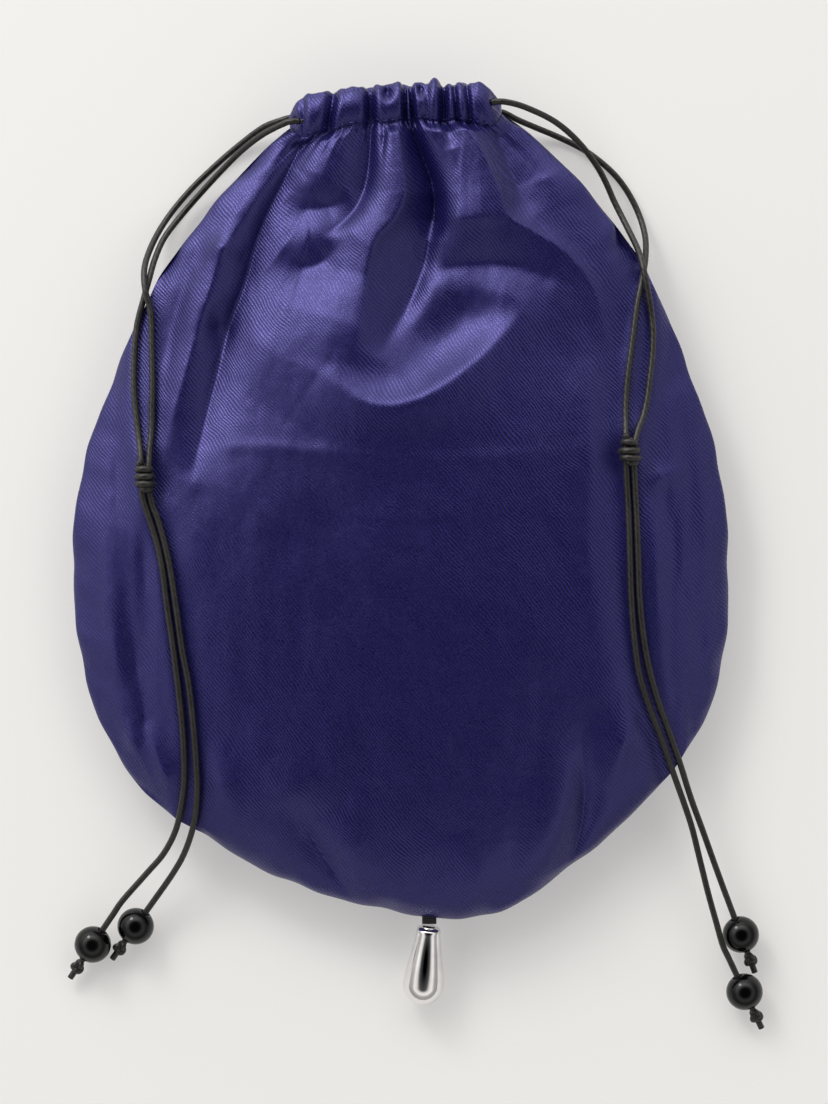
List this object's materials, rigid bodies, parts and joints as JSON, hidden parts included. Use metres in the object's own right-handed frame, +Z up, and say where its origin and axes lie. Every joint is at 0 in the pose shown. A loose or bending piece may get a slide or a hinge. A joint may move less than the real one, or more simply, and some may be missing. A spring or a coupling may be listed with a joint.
{
  "type": "drawstring gift pouch",
  "caption": "Lined satin pouch lying on its back, its gathered mouth drawn shut by knotted cords with beads, and a metal drop pendant at its base.",
  "frame": {"origin": "on the surface that the pouch lies on, under the middle of the pouch and its pendant", "axes": "+Y from the base to the mouth, +Z up out of the front, +X to the right seen from the front"},
  "size_m": [0.2244, 0.3041, 0.033],
  "materials": {
    "satin": "indigo satin twill with a soft sheen",
    "lining": "matte indigo lining",
    "cord": "dark waxed round cord",
    "bead": "polished black",
    "strap": "black woven tape",
    "polished_metal": "mirror polish"
  },
  "bodies": {
    "pouch": {"front_panel": "satin", "back_panel": "satin", "front_lining": "lining", "back_lining": "lining", "front_casing": "satin", "back_casing": "satin"},
    "left_drawcord": {"left_drawcord_loop": "cord", "left_strand_1": "cord", "left_strand_2": "cord", "left_cord_knot": "cord", "left_end_knot_1": "cord", "left_end_knot_2": "cord"},
    "right_drawcord": {"right_drawcord_loop": "cord", "right_strand_1": "cord", "right_strand_2": "cord", "right_cord_knot": "cord", "right_end_knot_1": "cord", "right_end_knot_2": "cord"},
    "left_bead_1": {"left_bead_1": "bead"},
    "left_bead_2": {"left_bead_2": "bead"},
    "right_bead_1": {"right_bead_1": "bead"},
    "right_bead_2": {"right_bead_2": "bead"},
    "pendant_strap": {"pendant_strap": "strap"},
    "pendant": {"pendant_drop": "polished_metal"}
  },
  "joints": [
    {"name": "left_drawcord_pull", "type": "slide", "parent": "pouch", "child": "left_drawcord", "axis": [-0.9981, -0.061, 0], "range_m": [0, 0.008]},
    {"name": "right_drawcord_pull", "type": "slide", "parent": "pouch", "child": "right_drawcord", "axis": [0.9981, 0.061, 0], "range_m": [0, 0.008]},
    {"name": "left_bead_1_slide", "type": "slide", "parent": "left_drawcord", "child": "left_bead_1", "axis": [0.5694, 0.7953, 0.2079], "range_m": [0, 0.006]},
    {"name": "left_bead_2_slide", "type": "slide", "parent": "left_drawcord", "child": "left_bead_2", "axis": [0.5484, 0.81, 0.2079], "range_m": [0, 0.0035]},
    {"name": "right_bead_1_slide", "type": "slide", "parent": "right_drawcord", "child": "right_bead_1", "axis": [-0.3505, 0.9132, 0.2079], "range_m": [0, 0.0045]},
    {"name": "right_bead_2_slide", "type": "slide", "parent": "right_drawcord", "child": "right_bead_2", "axis": [-0.4211, 0.8829, 0.2079], "range_m": [0, 0.0015]},
    {"name": "pendant_swing", "type": "hinge", "parent": "pouch", "child": "pendant_strap", "pos_m": [0.0092, -0.1176, 0.0125], "axis": [0, 0, 1], "range_deg": [-30, 30]},
    {"name": "pendant_lift", "type": "hinge", "parent": "pendant_strap", "child": "pendant", "pos_m": [0.0092, -0.1211, 0.0125], "axis": [-1, 0, 0], "range_deg": [0, 50]}
  ]
}
